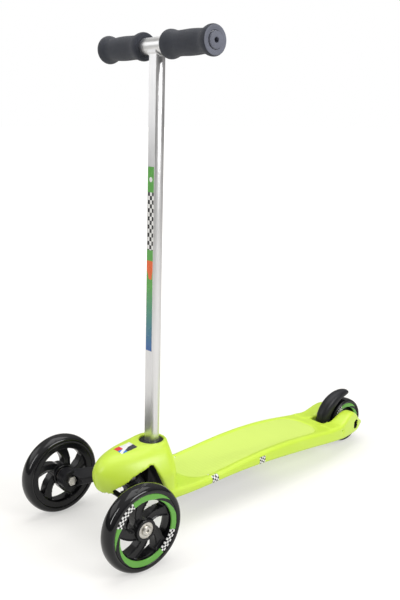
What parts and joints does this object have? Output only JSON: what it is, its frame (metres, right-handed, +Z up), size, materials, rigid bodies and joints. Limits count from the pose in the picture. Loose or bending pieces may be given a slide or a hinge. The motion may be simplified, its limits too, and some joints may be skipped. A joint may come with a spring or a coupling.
{
  "type": "kick scooter",
  "caption": "Child's lean-to-steer kick scooter: moulded lime deck with a nose hood, fixed T-bar, large front wheels, a small rear wheel and a foot brake.",
  "frame": {"origin": "on the ground, in the middle of the scooter's length and width", "axes": "+Z up, the scooter faces -Y, +X is the rider's left"},
  "size_m": [0.232, 0.634, 0.6905],
  "materials": {
    "deck_plastic": "lime green moulded plastic, satin, with a finer grained tread panel",
    "black_plastic": "satin black moulded plastic",
    "grey_plastic": "dull grey plug",
    "wheel_core": "glossy black core with a printed green and checkered ring",
    "tyre": "glossy black cast polyurethane",
    "foam": "charcoal closed-cell foam",
    "black_cast": "black powder coat on a casting",
    "aluminium": "brushed and anodised extruded tube",
    "decal": null,
    "steel": "zinc plated"
  },
  "bodies": {
    "chassis": {"axle_bolt_rear": "steel", "axle_nut_rear": "steel", "bar_plug_left": "grey_plastic", "bar_plug_right": "grey_plastic", "brake_hinge_pin": "steel", "brake_springs": "steel", "deck": "deck_plastic", "grip_left": "foam", "grip_right": "foam", "handlebar": "aluminium", "kingpin_nuts": "steel", "kingpins": "steel", "plate_screws": "steel", "rear_axle_spacers": "steel", "stem_bolt": "steel", "stem_decal": "decal", "stem_plug": "black_plastic", "stem_socket": "black_plastic", "stem_tube": "aluminium", "truck_bracket": "black_cast", "truck_screws": "steel", "underside_plate": "black_plastic", "weld_bead": "aluminium"},
    "arm_left": {"axle_bolt_left": "steel", "axle_nut_left": "steel", "axle_spacer_left": "steel", "steering_arm_left": "black_cast", "tie_rod_pin_left": "steel"},
    "arm_right": {"axle_bolt_right": "steel", "axle_nut_right": "steel", "axle_spacer_right": "steel", "steering_arm_right": "black_cast", "tie_rod_pin_right": "steel"},
    "wheel_left": {"bearing_sleeve_left": "steel", "bearings_left": "steel", "tyre_left": "tyre", "wheel_core_left": "wheel_core"},
    "wheel_right": {"bearing_sleeve_right": "steel", "bearings_right": "steel", "tyre_right": "tyre", "wheel_core_right": "wheel_core"},
    "wheel_rear": {"wheel_core_rear": "wheel_core", "tyre_rear": "tyre", "bearings_rear": "steel", "bearing_sleeve_rear": "steel"},
    "tie_rod": {"tie_rod": "black_cast"},
    "brake": {"brake_lever": "black_plastic"}
  },
  "joints": [
    {"name": "steer_left", "type": "hinge", "parent": "chassis", "child": "arm_left", "pos_m": [0.026, -0.209, 0.077], "axis": [0, -0.5736, 0.8192], "range_deg": [-14, 14], "stiffness_Nm_per_rad": 12},
    {"name": "steer_right", "type": "hinge", "parent": "chassis", "child": "arm_right", "pos_m": [-0.026, -0.209, 0.077], "axis": [0, -0.5736, 0.8192], "range_deg": [-14, 14]},
    {"name": "tie_rod_turn", "type": "hinge", "parent": "arm_left", "child": "tie_rod", "pos_m": [0.026, -0.23112, 0.06151], "axis": [0, -0.5736, 0.8192], "range_deg": [-14, 14]},
    {"name": "wheel_left_spin", "type": "hinge", "parent": "arm_left", "child": "wheel_left", "pos_m": [0.103, -0.257, 0.06], "axis": [1, 0, 0], "continuous": true},
    {"name": "wheel_right_spin", "type": "hinge", "parent": "arm_right", "child": "wheel_right", "pos_m": [-0.103, -0.257, 0.06], "axis": [1, 0, 0], "continuous": true},
    {"name": "wheel_rear_spin", "type": "hinge", "parent": "chassis", "child": "wheel_rear", "pos_m": [0, 0.277, 0.04], "axis": [1, 0, 0], "continuous": true},
    {"name": "brake_press", "type": "hinge", "parent": "chassis", "child": "brake", "pos_m": [0, 0.225, 0.044], "axis": [-1, 0, 0], "range_deg": [0, 5], "stiffness_Nm_per_rad": 2, "springref_deg": -5.73}
  ],
  "couplings": [
    {"joint": "steer_right", "follows": "steer_left", "ratio": 1},
    {"joint": "tie_rod_turn", "follows": "steer_left", "ratio": -1}
  ]
}
